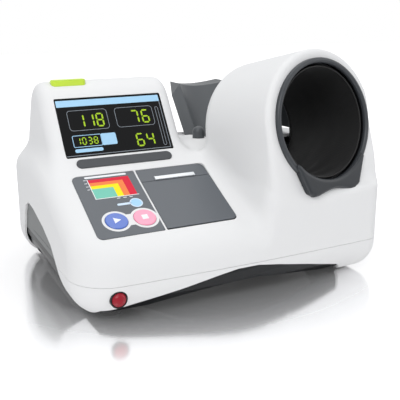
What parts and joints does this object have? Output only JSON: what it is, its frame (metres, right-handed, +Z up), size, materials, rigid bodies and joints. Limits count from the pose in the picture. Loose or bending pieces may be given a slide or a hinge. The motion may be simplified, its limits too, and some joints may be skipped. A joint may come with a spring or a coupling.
{
  "type": "arm-in blood pressure monitor",
  "caption": "Desk blood pressure monitor with a tilted display head, control slope and printer, an arm tunnel with an inflatable cuff and an elbow rest behind it.",
  "frame": {"origin": "centre of the bounding box at the desk surface", "axes": "+Z up, +X to the user's right, +Y away from the user, along the width X the longest extent"},
  "size_m": [0.4386, 0.4075, 0.3092],
  "materials": {
    "housing_white": "gloss",
    "slate_trim": "satin",
    "rest_grey": "fine texture",
    "panel_grey": "fine texture",
    "cover_grey": "satin",
    "base_slate": "satin",
    "black_plastic": "satin",
    "rubber_black": "matte",
    "display_glass": "polished",
    "circuit_board": "solder mask",
    "steel": "brushed",
    "start_blue": "gloss",
    "stop_pink": "gloss",
    "key_lime": "gloss",
    "stop_red": "gloss",
    "paper_white": "paper",
    "cuff_cloth": "woven",
    "bladder_rubber": "matte",
    "hose_grey": "satin",
    "sensor_beige": "matte"
  },
  "bodies": {
    "console": {"upper_housing": "housing_white", "lower_housing": "housing_white", "base_chassis": "base_slate", "side_cover_left": "cover_grey", "side_cover_right": "cover_grey", "rubber_feet": "rubber_black", "housing_screws": "steel", "display_window": "display_glass", "display_bezel": "black_plastic", "display_board": "circuit_board", "digit_modules": "black_plastic", "name_strip": "slate_trim", "control_panel": "panel_grey", "keypad_board": "circuit_board", "key_switches": "steel", "top_key_switch": "black_plastic", "emergency_stop_collar": "black_plastic", "emergency_switch_block": "black_plastic", "hinge_pin": "steel", "printer_frame": "panel_grey", "tear_bar": "steel", "thermal_head": "steel", "paper_spindle": "black_plastic", "printer_bay": "black_plastic", "front_ring": "slate_trim", "arm_lip": "slate_trim", "rear_ring": "slate_trim", "tunnel_liner": "black_plastic", "cuff_bladder": "bladder_rubber", "cuff_sleeve": "cuff_cloth", "elbow_rest": "rest_grey", "elbow_switch_sensor": "black_plastic", "main_board": "circuit_board", "board_parts": "black_plastic", "pressure_sensor": "sensor_beige", "air_pump": "steel", "pump_cradle": "rubber_black", "exhaust_valve": "steel", "quick_release_valve": "black_plastic", "air_tubes": "hose_grey", "power_supply": "circuit_board", "power_supply_parts": "black_plastic", "rear_panel": "slate_trim", "power_inlet": "black_plastic", "switch_body": "black_plastic", "fuse_holder": "black_plastic", "data_port": "steel", "speaker": "black_plastic"},
    "start_key": {"start_button": "start_blue"},
    "stop_key": {"stop_button": "stop_pink"},
    "top_key_cap": {"top_key": "key_lime"},
    "emergency_button": {"emergency_stop_button": "stop_red"},
    "elbow_plunger": {"elbow_switch": "rest_grey"},
    "printer_lid": {"printer_cover": "panel_grey"},
    "platen": {"platen_roller": "rubber_black", "platen_shaft": "steel"},
    "paper": {"paper_roll": "paper_white"},
    "rocker": {"power_rocker": "stop_red"}
  },
  "joints": [
    {"name": "start_press", "type": "slide", "parent": "console", "child": "start_key", "axis": [0, 0.4305, -0.9026], "range_m": [0, 0.0012], "stiffness_N_per_m": 400},
    {"name": "stop_press", "type": "slide", "parent": "console", "child": "stop_key", "axis": [0, 0.4305, -0.9026], "range_m": [0, 0.0012], "stiffness_N_per_m": 400},
    {"name": "top_key_press", "type": "slide", "parent": "console", "child": "top_key_cap", "axis": [0, 0, -1], "range_m": [0, 0.0015], "stiffness_N_per_m": 400},
    {"name": "emergency_press", "type": "slide", "parent": "console", "child": "emergency_button", "axis": [0, 1, 0], "range_m": [0, 0.004], "stiffness_N_per_m": 400},
    {"name": "elbow_press", "type": "slide", "parent": "console", "child": "elbow_plunger", "axis": [0, 0, -1], "range_m": [0, 0.004], "stiffness_N_per_m": 300},
    {"name": "printer_lid_hinge", "type": "hinge", "parent": "console", "child": "printer_lid", "pos_m": [0, -0.16444, 0.10096], "axis": [1, 0, 0], "range_deg": [0, 75]},
    {"name": "paper_turn", "type": "hinge", "parent": "console", "child": "paper", "pos_m": [0, -0.11871, 0.0922], "axis": [1, 0, 0], "continuous": true},
    {"name": "platen_turn", "type": "hinge", "parent": "printer_lid", "child": "platen", "pos_m": [0, -0.08801, 0.13121], "axis": [1, 0, 0], "continuous": true},
    {"name": "power_rocker_tilt", "type": "hinge", "parent": "console", "child": "rocker", "pos_m": [-0.101, 0.148, 0.081], "axis": [1, 0, 0], "range_deg": [-20, 0]}
  ],
  "couplings": [
    {"joint": "platen_turn", "follows": "paper_turn", "ratio": -5}
  ]
}
